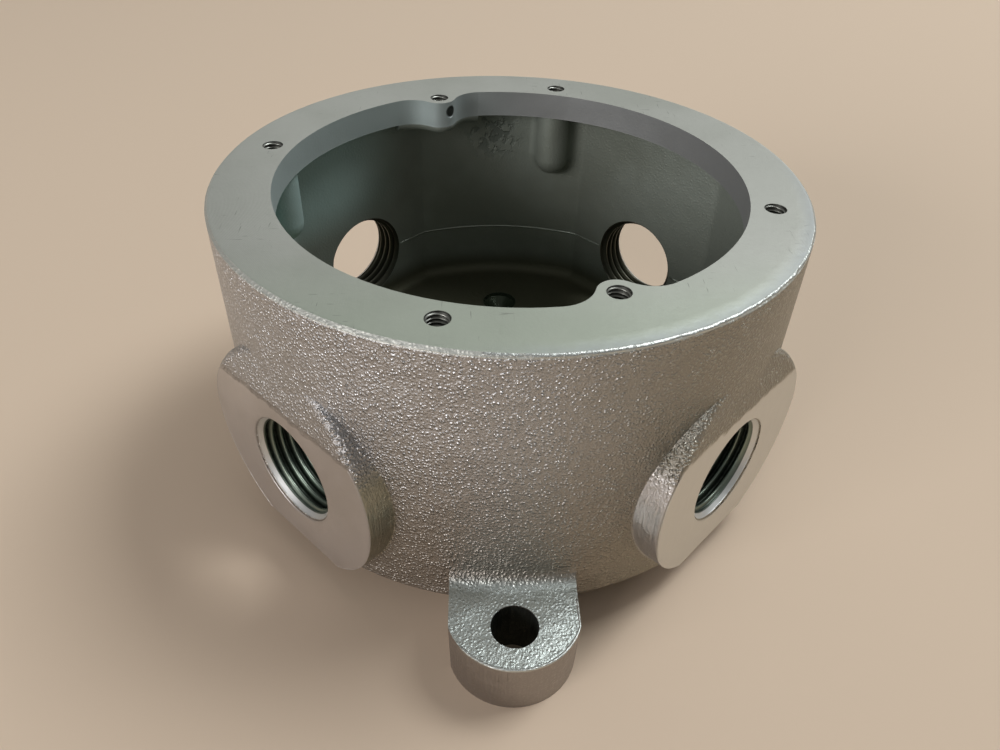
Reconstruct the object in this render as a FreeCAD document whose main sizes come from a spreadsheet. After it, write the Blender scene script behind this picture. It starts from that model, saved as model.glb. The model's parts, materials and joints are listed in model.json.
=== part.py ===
import FreeCAD, Part
import math
import os
import Sketcher
from FreeCAD import Placement, Rotation, Vector

# One-piece cast aluminium housing of a round four-way junction box.
#
# Frame: millimetres, +Z up along the axis of the bowl, origin on that axis in the plane the two
# mounting lugs stand on. The lugs lie on -Y (front) and +Y (back), the four threaded conduit
# ports halfway between them and the X axis. Turns are measured about +Z from the front lug.

# name, value, meaning (lengths in mm, angles in degrees)
SIZES = [
    ("total_height", 61.3, "machined rim above the plane the lugs stand on"),
    ("body_radius", 55.3, "outside of the cast wall"),
    ("wall_thickness", 4.3, "cast wall around the cavity"),
    ("foot_clearance", 5.2, "underside of the bowl above the standing plane"),
    ("floor_thickness", 4.4, "floor of the bowl"),
    ("floor_fillet", 2.5, "inside radius between floor and wall"),
    ("pad_corner_fillet", 3.0, "upright inside radius between wall and port pad"),
    ("bottom_rounding", 1.5, "outside radius under the bowl"),
    ("rim_chamfer", 0.5, "broken outer edge of the machined rim"),
    ("rim_width", 11.3, "flat of the rim, from its outer edge to the opening inside it"),
    ("lip_depth", 5.5, "thickness of the lip that overhangs the cavity"),
    ("port_height", 22.9, "port axis above the standing plane"),
    ("port_turn", 45.0, "first port from the front lug"),
    ("port_face_stand", 0.6, "machined port face beyond the cast wall"),
    ("port_wall", 8.6, "metal between port face and inner pad, the length of the thread"),
    ("port_bore_radius", 10.48, "port bore at the root of its 1/2-14 pipe thread"),
    ("port_mouth_chamfer", 0.35, "chamfer outside the thread root at the port mouth"),
    ("boss_foot_half", 10.8, "half the width of a boss at its level foot"),
    ("boss_rise", 1.8, "centre of the boss outline above the port axis"),
    ("boss_flat_height", 14.6, "top of the machined port face above the port axis"),
    ("boss_lean", 8.0, "lean-back of the cast face of a boss from upright"),
    ("boss_edge_rounding", 1.5, "rounded edge of the cast face of a boss"),
    ("cover_hole_inset", 6.95, "cover screw holes inside the rim's outer edge"),
    ("cover_hole_turn", -14.6, "first cover screw hole from the front lug"),
    ("cover_hole_radius", 2.0, "cover screw hole at the root of its M4 thread"),
    ("cover_hole_depth", 15.0, "cover screw hole below the rim"),
    ("column_radius", 3.9, "half-round column under a cover screw hole"),
    ("column_depth", 20.8, "rounded lower end of the column below the rim"),
    ("column_root_fillet", 2.0, "inside radius between column and wall"),
    ("lobe_hole_inset", 1.7, "device screw holes inside the rim's opening"),
    ("lobe_turn", 20.5, "first lobe from the front lug"),
    ("lobe_radius", 3.5, "nose of a lobe about its hole"),
    ("lobe_fillet", 6.5, "inside radius between lobe and rim bore"),
    ("lobe_depth", 7.2, "lobe below the rim"),
    ("lobe_rounding", 1.5, "rounded underside of a lobe"),
    ("lobe_hole_radius", 2.0, "device screw hole at the root of its M4 thread"),
    ("lug_height", 11.8, "thickness of a mounting lug"),
    ("lug_half_width", 11.0, "half the width of a lug"),
    ("lug_length", 17.0, "lug beyond the body"),
    ("lug_end_radius", 11.6, "rounding of a lug's outer end"),
    ("lug_foot_overlap", 12.3, "foot of a lug under the body"),
    ("lug_draft", 1.5, "taper of a lug's side towards its foot"),
    ("lug_root_fillet", 2.8, "inside radius between lug top and wall"),
    ("lug_hole_edge", 8.0, "mounting hole from the lug's outer end"),
    ("lug_hole_radius", 4.05, "mounting hole"),
    ("spot_distance", 34.6, "blind drilling in the floor, from the axis towards the back lug"),
    ("spot_radius", 4.05, "radius of the blind drilling"),
    ("spot_depth", 0.9, "straight part of the blind drilling, above its drill point"),
    ("spot_point_angle", 59.0, "half angle of the drill point"),
]
PORT_COUNT = 4
COVER_HOLE_COUNT = 4
LOBE_COUNT = 2
LUG_COUNT = 2
FRONT = -90.0  # azimuth of the front lug
BACK = 90.0  # azimuth of the back lug
SLACK = 5.0  # how far a cutting shape runs past the metal it removes
NEAR = 0.02  # how close an edge lies to a surface that it is on
Z_AXIS = Vector(0, 0, 1)

# sizes that follow from others
CAVITY_RADIUS = "(Sizes.body_radius - Sizes.wall_thickness)"
MID_WALL_RADIUS = "(Sizes.body_radius - Sizes.wall_thickness / 2)"
FLOOR_HEIGHT = "(Sizes.foot_clearance + Sizes.floor_thickness)"
LIP_BORE_RADIUS = "(Sizes.body_radius - Sizes.rim_width)"
COVER_HOLE_CIRCLE = "(Sizes.body_radius - Sizes.cover_hole_inset)"
LOBE_CIRCLE = f"({LIP_BORE_RADIUS} - Sizes.lobe_hole_inset)"
LUG_REACH = "(Sizes.body_radius + Sizes.lug_length)"
LUG_INNER_END = "(Sizes.body_radius - Sizes.lug_foot_overlap)"
LUG_HOLE_DISTANCE = f"({LUG_REACH} - Sizes.lug_hole_edge)"
LIP_UNDERSIDE = "(Sizes.total_height - Sizes.lip_depth)"
PORT_FACE = "(Sizes.body_radius + Sizes.port_face_stand)"
PAD_DISTANCE = f"({PORT_FACE} - Sizes.port_wall)"
PORT_AZIMUTH = f"({FRONT} + Sizes.port_turn)"
BOSS_DROP = "(Sizes.port_height - Sizes.foot_clearance)"
BOSS_RADIUS = f"sqrt(({BOSS_DROP} + Sizes.boss_rise)^2 + Sizes.boss_foot_half^2)"
BOSS_TOP = f"(Sizes.boss_rise + {BOSS_RADIUS})"
BOSS_SLOPE = "tan(Sizes.boss_lean * 1 deg)"
BOSS_CASTING = f"({PORT_FACE} + ({BOSS_DROP} + Sizes.boss_flat_height + 1) * {BOSS_SLOPE})"
BOSS_CUT_WIDTH = f"2 * ({BOSS_RADIUS} + 1)"
COVER_HOLE_AZIMUTH = f"({FRONT} + Sizes.cover_hole_turn)"
LOBE_AZIMUTH = f"({FRONT} + Sizes.lobe_turn)"

doc = FreeCAD.newDocument("junction_box_housing")
sheet = doc.addObject("Spreadsheet::Sheet", "Sizes")
for row, (name, value, meaning) in enumerate(SIZES, start=1):
    sheet.set(f"A{row}", meaning)
    sheet.set(f"B{row}", str(value))
    sheet.setAlias(f"B{row}", name)
doc.recompute()

body = doc.addObject("PartDesign::Body", "housing")
body.Label = "housing"
body.Placement = Placement()


# ---------------------------------------------------------------- sketch helpers
def value(expression):
    """Number that an expression of the sheet's sizes gives."""
    return float(body.evalExpression(expression))


def origin_feature(role):
    return next(item for item in body.Origin.OriginFeatures if item.Role == role)


def flat_sketch(name, height, azimuth="0"):
    """Horizontal sketch at a height, its X axis turned to an azimuth."""
    sketch = body.newObject("Sketcher::SketchObject", name)
    sketch.AttachmentSupport = (origin_feature("XY_Plane"), [""])
    sketch.MapMode = "FlatFace"
    sketch.AttachmentOffset = Placement(Vector(), Rotation(Z_AXIS, 1))
    sketch.setExpression(".AttachmentOffset.Base.z", height)
    sketch.setExpression(".AttachmentOffset.Rotation.Angle", f"{azimuth} * 1 deg")
    return sketch


def upright_sketch(name, height, azimuth):
    """Upright sketch through the bowl's axis, its X axis turned to an azimuth, its Y axis up."""
    sketch = body.newObject("Sketcher::SketchObject", name)
    sketch.AttachmentSupport = (origin_feature("XZ_Plane"), [""])
    sketch.MapMode = "FlatFace"
    sketch.AttachmentOffset = Placement(Vector(), Rotation(Vector(0, 1, 0), 1))
    sketch.setExpression(".AttachmentOffset.Base.y", height)
    sketch.setExpression(".AttachmentOffset.Rotation.Angle", f"{azimuth} * 1 deg")
    return sketch


def constrain(sketch, expression, kind, *where):
    """Dimension of a sketch, tied to the sheet."""
    index = sketch.addConstraint(Sketcher.Constraint(kind, *where, value(expression)))
    sketch.setExpression(f"Constraints[{index}]", expression)


def fix(sketch, kind, *where):
    """Geometric constraint without a size."""
    sketch.addConstraint(Sketcher.Constraint(kind, *where))


def draw_circle(sketch, radius, distance=None):
    """Circle about the sketch origin, or at a distance along its X axis."""
    centre = Vector(value(distance) if distance else 0, 0, 0)
    circle = sketch.addGeometry(Part.Circle(centre, Z_AXIS, value(radius)))
    if distance:
        fix(sketch, "PointOnObject", circle, 3, -1)
        constrain(sketch, distance, "DistanceX", -1, 1, circle, 3)
    else:
        fix(sketch, "Coincident", circle, 3, -1, 1)
    constrain(sketch, radius, "Radius", circle)
    return circle


def arc(centre, radius, start, end):
    """Arc from one angle to another, anticlockwise, in degrees."""
    circle = Part.Circle(Vector(*centre, 0), Z_AXIS, radius)
    return Part.ArcOfCircle(circle, math.radians(start), math.radians(end))


def draw_loop(sketch, edges, smooth=()):
    """Closed outline: each edge is (geometry, start point, end point), joined end to start.

    smooth lists the edges that run tangentially into the one that follows them.
    """
    ids = [sketch.addGeometry(geometry) for geometry, _, _ in edges]
    for place, (_, _, end) in enumerate(edges):
        following = (place + 1) % len(edges)
        kind = "Tangent" if place in smooth else "Coincident"
        fix(sketch, kind, ids[place], end, ids[following], edges[following][1])
    return ids


def line(start, end):
    return (Part.LineSegment(Vector(*start, 0), Vector(*end, 0)), 1, 2)


# ---------------------------------------------------------------- feature helpers
def extrude(kind, name, sketch, length, side="One side", reverse=False):
    feature = body.newObject(f"PartDesign::{kind}", name)
    feature.Profile = sketch
    feature.setExpression("Length", length)
    feature.SideType = side
    feature.Reversed = reverse
    return finish(feature)


def turn_about(kind, name, sketch, axis):
    feature = body.newObject(f"PartDesign::{kind}", name)
    feature.Profile = sketch
    feature.ReferenceAxis = (sketch, [axis])
    feature.Angle = 360
    return finish(feature)


def repeat(name, original, count, extent=360):
    feature = body.newObject("PartDesign::PolarPattern", name)
    feature.Originals = [original]
    feature.Axis = (origin_feature("Z_Axis"), [""])
    feature.Angle = extent
    feature.Occurrences = count
    body.Tip = feature
    return finish(feature)


def finish(feature):
    """Recomputes and stops where a feature fails, or removes or adds nothing."""
    before = feature.BaseFeature.Shape.Volume if feature.BaseFeature else 0
    doc.recompute()
    if not feature.isValid() or abs(feature.Shape.Volume - before) < NEAR ** 3:
        raise RuntimeError(f"{feature.Name}: {feature.State}, volume {before} unchanged")
    return feature


def dress(kind, name, base, size_property, size, test):
    """Fillet or chamfer on the edges of a feature that pass a test."""
    names = [f"Edge{n}" for n, edge in enumerate(base.Shape.Edges, start=1) if test(edge)]
    feature = body.newObject(f"PartDesign::{kind}", name)
    feature.Base = (base, names)
    feature.setExpression(size_property, size)
    return finish(feature)


def at_height(edge, height):
    box = edge.BoundBox
    return abs(box.ZMin - height) < NEAR and abs(box.ZMax - height) < NEAR


def points_on(edge):
    """Points along an edge, or the one point of an edge that closes a cone or a ball."""
    return [edge.Vertexes[0].Point] if edge.Degenerated else edge.discretize(9)


def farthest(edge):
    """Largest distance of an edge from the bowl's axis."""
    return max(math.hypot(point.x, point.y) for point in points_on(edge))


def nearest(edge):
    return min(math.hypot(point.x, point.y) for point in points_on(edge))


def along_port(point):
    """A point's distances out along its nearest port axis, sideways from it and above it."""
    turned = Rotation(Z_AXIS, -value(PORT_AZIMUTH)) * point
    x, y = abs(turned.x), abs(turned.y)
    return max(x, y), min(x, y), point.z - value("Sizes.port_height")


# ---------------------------------------------------------------- port bosses
def draw_boss(sketch):
    """Outline of a boss seen along the port axis: round, with a level foot."""
    radius, rise, drop = value(BOSS_RADIUS), value("Sizes.boss_rise"), value(BOSS_DROP)
    low = math.degrees(math.asin((drop + rise) / radius))
    foot = value("Sizes.boss_foot_half")
    base, outline = draw_loop(sketch, [
        line((-foot, -drop), (foot, -drop)),
        (arc((0, rise), radius, -low, 180 + low), 1, 2),
    ])
    fix(sketch, "Horizontal", base)
    fix(sketch, "PointOnObject", outline, 3, -2)
    constrain(sketch, "Sizes.boss_foot_half", "DistanceX", -1, 1, base, 2)
    constrain(sketch, "Sizes.boss_rise", "DistanceY", -1, 1, outline, 3)
    constrain(sketch, BOSS_DROP, "DistanceY", base, 1, -1, 1)


boss_outline = upright_sketch("BossOutline", "Sizes.port_height", f"({PORT_AZIMUTH} + 90)")
draw_boss(boss_outline)
boss_pair = extrude("Pad", "BossPair", boss_outline, f"2 * {BOSS_CASTING}", side="Symmetric")
bosses = repeat("Bosses", boss_pair, 2, extent=90)


def draw_lean_cut(sketch):
    """Wedge outside the cast face, which leans back from bottom to top."""
    face, flat = value(PORT_FACE), value("Sizes.boss_flat_height")
    top = value(BOSS_TOP) + SLACK
    bottom = value(BOSS_DROP) + SLACK
    slope = math.tan(math.radians(value("Sizes.boss_lean")))
    outer_edge = value(BOSS_CASTING) + SLACK
    lean, lid, outer, low = draw_loop(sketch, [
        line((face + (flat + bottom) * slope, -bottom), (face - (top - flat) * slope, top)),
        line((face - (top - flat) * slope, top), (outer_edge, top)),
        line((outer_edge, top), (outer_edge, -bottom)),
        line((outer_edge, -bottom), (face + (flat + bottom) * slope, -bottom)),
    ])
    fix(sketch, "Horizontal", lid)
    fix(sketch, "Vertical", outer)
    fix(sketch, "Horizontal", low)
    constrain(sketch, f"{BOSS_TOP} + {SLACK}", "DistanceY", -1, 1, lid, 1)
    constrain(sketch, f"{BOSS_DROP} + {SLACK}", "DistanceY", low, 1, -1, 1)
    constrain(sketch, f"{BOSS_CASTING} + {SLACK}", "DistanceX", -1, 1, outer, 1)
    above = f"({BOSS_TOP} + {SLACK} - Sizes.boss_flat_height) * {BOSS_SLOPE}"
    below = f"({BOSS_DROP} + {SLACK} + Sizes.boss_flat_height) * {BOSS_SLOPE}"
    constrain(sketch, f"{PORT_FACE} - {above}", "DistanceX", -1, 1, lean, 2)
    constrain(sketch, f"{PORT_FACE} + {below}", "DistanceX", -1, 1, lean, 1)


lean_profile = upright_sketch("LeanProfile", "Sizes.port_height", PORT_AZIMUTH)
draw_lean_cut(lean_profile)
lean_cut = extrude("Pocket", "LeanCut", lean_profile, BOSS_CUT_WIDTH, side="Symmetric")
leans = repeat("Leans", lean_cut, PORT_COUNT)


def on_lean(point):
    """Whether a point lies in the cast face of a boss."""
    out, _, rise = along_port(point)
    slope = math.tan(math.radians(value("Sizes.boss_lean")))
    return abs(out - value(PORT_FACE) - (value("Sizes.boss_flat_height") - rise) * slope) < NEAR


cast_edges = dress(
    "Fillet", "CastEdges", leans, "Radius", "Sizes.boss_edge_rounding",
    lambda edge: all(on_lean(point) for point in points_on(edge))
    and edge.BoundBox.ZMax > value("Sizes.port_height"))


def draw_machined_cut(sketch):
    """Rectangle outside the machined face of a boss."""
    face, far = value(PORT_FACE), value(BOSS_CASTING) + SLACK
    top, bottom = value(BOSS_TOP) + SLACK, value(BOSS_DROP) + SLACK
    flat, lid, outer, low = draw_loop(sketch, [
        line((face, -bottom), (face, top)),
        line((face, top), (far, top)),
        line((far, top), (far, -bottom)),
        line((far, -bottom), (face, -bottom)),
    ])
    fix(sketch, "Vertical", flat)
    fix(sketch, "Horizontal", lid)
    fix(sketch, "Vertical", outer)
    fix(sketch, "Horizontal", low)
    constrain(sketch, f"{BOSS_TOP} + {SLACK}", "DistanceY", -1, 1, lid, 1)
    constrain(sketch, f"{BOSS_DROP} + {SLACK}", "DistanceY", low, 1, -1, 1)
    constrain(sketch, f"{BOSS_CASTING} + {SLACK}", "DistanceX", -1, 1, outer, 1)
    constrain(sketch, PORT_FACE, "DistanceX", -1, 1, flat, 1)


machined_profile = upright_sketch("MachinedProfile", "Sizes.port_height", PORT_AZIMUTH)
draw_machined_cut(machined_profile)
machined_cut = extrude("Pocket", "MachinedCut", machined_profile, BOSS_CUT_WIDTH, side="Symmetric")
machined = repeat("MachinedFaces", machined_cut, PORT_COUNT)


# ---------------------------------------------------------------- outside of the bowl
def draw_bowl(sketch):
    """Half section of the solid bowl: broken rim edge, rounded bottom edge."""
    radius, height = value("Sizes.body_radius"), value("Sizes.total_height")
    low, rounding = value("Sizes.foot_clearance"), value("Sizes.bottom_rounding")
    chamfer = value("Sizes.rim_chamfer")
    floor, corner, side, bevel, rim, axis = draw_loop(sketch, [
        line((0, low), (radius - rounding, low)),
        (arc((radius - rounding, low + rounding), rounding, -90, 0), 1, 2),
        line((radius, low + rounding), (radius, height - chamfer)),
        line((radius, height - chamfer), (radius - chamfer, height)),
        line((radius - chamfer, height), (0, height)),
        line((0, height), (0, low)),
    ])
    fix(sketch, "Horizontal", floor)
    fix(sketch, "Vertical", side)
    fix(sketch, "Horizontal", rim)
    fix(sketch, "PointOnObject", axis, 1, -2)
    fix(sketch, "PointOnObject", axis, 2, -2)
    fix(sketch, "Vertical", corner, 1, corner, 3)
    fix(sketch, "Horizontal", corner, 2, corner, 3)
    constrain(sketch, "Sizes.bottom_rounding", "Radius", corner)
    constrain(sketch, "Sizes.body_radius", "DistanceX", -1, 1, side, 1)
    constrain(sketch, "Sizes.foot_clearance", "DistanceY", -1, 1, floor, 1)
    constrain(sketch, "Sizes.total_height", "DistanceY", -1, 1, rim, 1)
    constrain(sketch, "Sizes.rim_chamfer", "DistanceX", bevel, 2, bevel, 1)
    constrain(sketch, "Sizes.rim_chamfer", "DistanceY", bevel, 1, bevel, 2)


bowl_section = upright_sketch("BowlSection", "0", "0")
draw_bowl(bowl_section)
bowl = turn_about("Revolution", "Bowl", bowl_section, "V_Axis")


# ---------------------------------------------------------------- mounting lugs
def draw_lug(sketch):
    """Plan of a lug: straight sides and a rounded outer end."""
    inner, half = value(LUG_INNER_END), value("Sizes.lug_half_width")
    end_radius = value("Sizes.lug_end_radius")
    centre = value(LUG_REACH) - end_radius
    spread = math.degrees(math.asin(half / end_radius))
    shoulder = centre + math.sqrt(end_radius ** 2 - half ** 2)
    right, end, left, back = draw_loop(sketch, [
        line((inner, -half), (shoulder, -half)),
        (arc((centre, 0), end_radius, -spread, spread), 1, 2),
        line((shoulder, half), (inner, half)),
        line((inner, half), (inner, -half)),
    ])
    fix(sketch, "Horizontal", right)
    fix(sketch, "Horizontal", left)
    fix(sketch, "Vertical", back)
    fix(sketch, "PointOnObject", end, 3, -1)
    constrain(sketch, "Sizes.lug_end_radius", "Radius", end)
    constrain(sketch, f"{LUG_REACH} - Sizes.lug_end_radius", "DistanceX", -1, 1, end, 3)
    constrain(sketch, LUG_INNER_END, "DistanceX", -1, 1, back, 1)
    constrain(sketch, "Sizes.lug_half_width", "DistanceY", -1, 1, left, 1)
    constrain(sketch, "Sizes.lug_half_width", "DistanceY", right, 1, -1, 1)


lug_plan = flat_sketch("LugPlan", "Sizes.lug_height", f"({FRONT})")
draw_lug(lug_plan)
lug = extrude("Pad", "Lug", lug_plan, "Sizes.lug_height", reverse=True)
lug.setExpression("TaperAngle", "-Sizes.lug_draft * 1 deg")
finish(lug)
lugs = repeat("Lugs", lug, LUG_COUNT)


# ---------------------------------------------------------------- cavity, lip and floor
def draw_cavity(sketch):
    """Plan of the cavity: round wall with a flat pad across each port."""
    radius, flat = value(CAVITY_RADIUS), value(PAD_DISTANCE)
    half = math.sqrt(radius ** 2 - flat ** 2)
    spread = math.degrees(math.asin(half / radius))
    edges = []
    for quarter in range(PORT_COUNT):
        turn = 90.0 * quarter
        corner = Rotation(Z_AXIS, turn)
        start, end = corner * Vector(flat, -half, 0), corner * Vector(flat, half, 0)
        edges.append(line((start.x, start.y), (end.x, end.y)))
        edges.append((arc((0, 0), radius, turn + spread, turn + 90 - spread), 1, 2))
    ids = draw_loop(sketch, edges)
    for place in range(PORT_COUNT):
        pad, wall = ids[2 * place], ids[2 * place + 1]
        fix(sketch, "Vertical" if place % 2 == 0 else "Horizontal", pad)
        fix(sketch, "Coincident", wall, 3, -1, 1)
        constrain(sketch, PAD_DISTANCE, "Distance", -1, 1, pad)
        constrain(sketch, CAVITY_RADIUS, "Radius", wall)


cavity_plan = flat_sketch("CavityPlan", LIP_UNDERSIDE, PORT_AZIMUTH)
draw_cavity(cavity_plan)
cavity = extrude("Pocket", "Cavity", cavity_plan, f"{LIP_UNDERSIDE} - {FLOOR_HEIGHT}")
pad_corners = dress(
    "Fillet", "PadCorners", cavity, "Radius", "Sizes.pad_corner_fillet",
    lambda edge: edge.BoundBox.ZMin < value(FLOOR_HEIGHT) + NEAR
    and edge.BoundBox.ZMax > value(LIP_UNDERSIDE) - NEAR
    and farthest(edge) < value(CAVITY_RADIUS) + NEAR)
floor_corner = dress(
    "Fillet", "FloorCorner", pad_corners, "Radius", "Sizes.floor_fillet",
    lambda edge: at_height(edge, value(FLOOR_HEIGHT)))

lip_plan = flat_sketch("LipPlan", "Sizes.total_height")
draw_circle(lip_plan, LIP_BORE_RADIUS)
lip_bore = extrude("Pocket", "LipBore", lip_plan, "Sizes.lip_depth")


# ---------------------------------------------------------------- columns and lobes
def draw_column(sketch):
    """Half section of a screw column: straight, with a round lower end."""
    centre, radius = value(COVER_HOLE_CIRCLE), value("Sizes.column_radius")
    length = value("Sizes.column_depth - Sizes.column_radius - Sizes.lip_depth / 2")
    end, side, top, axis = draw_loop(sketch, [
        (arc((centre, 0), radius, -90, 0), 1, 2),
        line((centre + radius, 0), (centre + radius, length)),
        line((centre + radius, length), (centre, length)),
        line((centre, length), (centre, -radius)),
    ])
    fix(sketch, "Vertical", side)
    fix(sketch, "Horizontal", top)
    fix(sketch, "Vertical", axis)
    fix(sketch, "PointOnObject", end, 3, -1)
    fix(sketch, "PointOnObject", end, 2, -1)
    fix(sketch, "Vertical", end, 1, end, 3)
    constrain(sketch, "Sizes.column_radius", "Radius", end)
    constrain(sketch, COVER_HOLE_CIRCLE, "DistanceX", -1, 1, end, 3)
    length_size = "Sizes.column_depth - Sizes.column_radius - Sizes.lip_depth / 2"
    constrain(sketch, length_size, "DistanceY", side, 1, side, 2)
    spine = sketch.addGeometry(Part.LineSegment(Vector(centre, 0, 0), Vector(centre, length, 0)), True)
    fix(sketch, "Coincident", spine, 1, end, 3)
    fix(sketch, "Coincident", spine, 2, top, 2)


column_section = upright_sketch(
    "ColumnSection", "Sizes.total_height - Sizes.column_depth + Sizes.column_radius", COVER_HOLE_AZIMUTH)
draw_column(column_section)
column = turn_about("Revolution", "Column", column_section, "Axis0")
columns = repeat("Columns", column, COVER_HOLE_COUNT)
column_roots = dress(
    "Fillet", "ColumnRoots", columns, "Radius", "Sizes.column_root_fillet",
    lambda edge: abs(farthest(edge) - value(CAVITY_RADIUS)) < NEAR
    and abs(nearest(edge) - value(CAVITY_RADIUS)) < NEAR
    and edge.BoundBox.ZMax - edge.BoundBox.ZMin > NEAR
    and edge.BoundBox.ZMin > value("Sizes.total_height - Sizes.column_depth") - NEAR)


def draw_lobe(sketch):
    """Plan of a lobe: round nose and an inside radius on each side up to the bore, closed in the wall."""
    bore, fillet = value(LIP_BORE_RADIUS), value("Sizes.lobe_fillet")
    nose, distance = value("Sizes.lobe_radius"), value(LOBE_CIRCLE)
    outer = value(MID_WALL_RADIUS)
    reach = bore - fillet
    swing = math.degrees(math.acos(
        (reach ** 2 + distance ** 2 - (nose + fillet) ** 2) / (2 * reach * distance)))
    centre = Rotation(Z_AXIS, swing) * Vector(reach, 0, 0)
    end = Rotation(Z_AXIS, swing) * Vector(bore, 0, 0)
    slope = math.degrees(math.atan2(centre.y, centre.x - distance))
    nose_arc, left_fillet, left, back, right, right_fillet = draw_loop(sketch, [
        (arc((distance, 0), nose, slope, 360 - slope), 2, 1),
        (arc((centre.x, centre.y), fillet, slope - 180, swing), 1, 2),
        line((end.x, end.y), (outer, end.y)),
        line((outer, end.y), (outer, -end.y)),
        line((outer, -end.y), (end.x, -end.y)),
        (arc((centre.x, -centre.y), fillet, -swing, 180 - slope), 1, 2),
    ], smooth=(0, 5))
    rim = sketch.addGeometry(Part.Circle(Vector(), Z_AXIS, bore), True)
    fix(sketch, "Coincident", rim, 3, -1, 1)
    fix(sketch, "Tangent", left_fillet, 2, rim)
    fix(sketch, "Tangent", right_fillet, 1, rim)
    fix(sketch, "PointOnObject", nose_arc, 3, -1)
    fix(sketch, "Horizontal", left)
    fix(sketch, "Horizontal", right)
    fix(sketch, "Vertical", back)
    constrain(sketch, LIP_BORE_RADIUS, "Radius", rim)
    constrain(sketch, LOBE_CIRCLE, "DistanceX", -1, 1, nose_arc, 3)
    constrain(sketch, "Sizes.lobe_radius", "Radius", nose_arc)
    constrain(sketch, "Sizes.lobe_fillet", "Radius", left_fillet)
    constrain(sketch, "Sizes.lobe_fillet", "Radius", right_fillet)
    constrain(sketch, MID_WALL_RADIUS, "DistanceX", -1, 1, back, 1)


lobe_plan = flat_sketch("LobePlan", "Sizes.total_height", LOBE_AZIMUTH)
draw_lobe(lobe_plan)
lobe = extrude("Pad", "Lobe", lobe_plan, "Sizes.lobe_depth", reverse=True)
lobes = repeat("Lobes", lobe, LOBE_COUNT)
lobe_underside = dress(
    "Fillet", "LobeUnderside", lobes, "Radius", "Sizes.lobe_rounding",
    lambda edge: at_height(edge, value("Sizes.total_height - Sizes.lobe_depth"))
    and nearest(edge) < value(LIP_BORE_RADIUS) - NEAR)


# ---------------------------------------------------------------- holes
cover_hole_plan = flat_sketch("CoverHolePlan", "Sizes.total_height", COVER_HOLE_AZIMUTH)
draw_circle(cover_hole_plan, "Sizes.cover_hole_radius", COVER_HOLE_CIRCLE)
cover_hole = extrude("Pocket", "CoverHole", cover_hole_plan, "Sizes.cover_hole_depth")
cover_holes = repeat("CoverHoles", cover_hole, COVER_HOLE_COUNT)

lobe_hole_plan = flat_sketch("LobeHolePlan", "Sizes.total_height", LOBE_AZIMUTH)
draw_circle(lobe_hole_plan, "Sizes.lobe_hole_radius", LOBE_CIRCLE)
lobe_hole = extrude("Pocket", "LobeHole", lobe_hole_plan, f"Sizes.lobe_depth + {SLACK}")
lobe_holes = repeat("LobeHoles", lobe_hole, LOBE_COUNT)

lug_hole_plan = flat_sketch("LugHolePlan", "Sizes.lug_height", f"({FRONT})")
draw_circle(lug_hole_plan, "Sizes.lug_hole_radius", LUG_HOLE_DISTANCE)
lug_hole = extrude("Pocket", "LugHole", lug_hole_plan, f"Sizes.lug_height + {SLACK}")
lug_holes = repeat("LugHoles", lug_hole, LUG_COUNT)

port_bore_plan = upright_sketch("PortBorePlan", "Sizes.port_height", f"({PORT_AZIMUTH} + 90)")
draw_circle(port_bore_plan, "Sizes.port_bore_radius")
port_bore = extrude("Pocket", "PortBorePair", port_bore_plan, f"2 * ({PORT_FACE} + {SLACK})", side="Symmetric")
port_bores = repeat("PortBores", port_bore, 2, extent=90)


def draw_spot(sketch):
    """Half section of the blind drilling: straight wall and drill point."""
    centre, radius = value("Sizes.spot_distance"), value("Sizes.spot_radius")
    depth = value("Sizes.spot_depth")
    point = radius / math.tan(math.radians(value("Sizes.spot_point_angle")))
    top, side, cone, axis = draw_loop(sketch, [
        line((centre, SLACK), (centre + radius, SLACK)),
        line((centre + radius, SLACK), (centre + radius, -depth)),
        line((centre + radius, -depth), (centre, -depth - point)),
        line((centre, -depth - point), (centre, SLACK)),
    ])
    fix(sketch, "Horizontal", top)
    fix(sketch, "Vertical", side)
    fix(sketch, "Vertical", axis)
    constrain(sketch, "Sizes.spot_distance", "DistanceX", -1, 1, axis, 1)
    constrain(sketch, "Sizes.spot_radius", "DistanceX", top, 1, top, 2)
    constrain(sketch, "Sizes.spot_depth", "DistanceY", side, 2, -1, 1)
    constrain(sketch, f"{SLACK}", "DistanceY", -1, 1, top, 1)
    point_size = "Sizes.spot_radius / tan(Sizes.spot_point_angle * 1 deg)"
    constrain(sketch, point_size, "DistanceY", cone, 2, cone, 1)
    spine = sketch.addGeometry(Part.LineSegment(Vector(centre, 0, 0), Vector(centre, SLACK, 0)), True)
    fix(sketch, "PointOnObject", spine, 1, -1)
    fix(sketch, "Coincident", spine, 2, top, 1)
    fix(sketch, "Vertical", spine)


spot_section = upright_sketch("SpotSection", FLOOR_HEIGHT, f"({BACK})")
draw_spot(spot_section)
spot = turn_about("Groove", "Spot", spot_section, "Axis0")


# ---------------------------------------------------------------- edges
def on_body_wall(edge):
    """Whether an edge runs along the outside of the cast wall."""
    radius = value("Sizes.body_radius")
    return abs(farthest(edge) - radius) < NEAR and abs(nearest(edge) - radius) < NEAR


def is_port_mouth(edge):
    face, radius = value(PORT_FACE), value("Sizes.port_bore_radius")
    places = [along_port(point) for point in points_on(edge)]
    return all(
        abs(out - face) < NEAR and abs(math.hypot(aside, rise) - radius) < NEAR
        for out, aside, rise in places)


port_mouths = dress(
    "Chamfer", "PortMouths", spot, "Size", "Sizes.port_mouth_chamfer", is_port_mouth)

lug_roots = dress(
    "Fillet", "LugRoots", port_mouths, "Radius", "Sizes.lug_root_fillet",
    lambda edge: at_height(edge, value("Sizes.lug_height")) and on_body_wall(edge))


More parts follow.
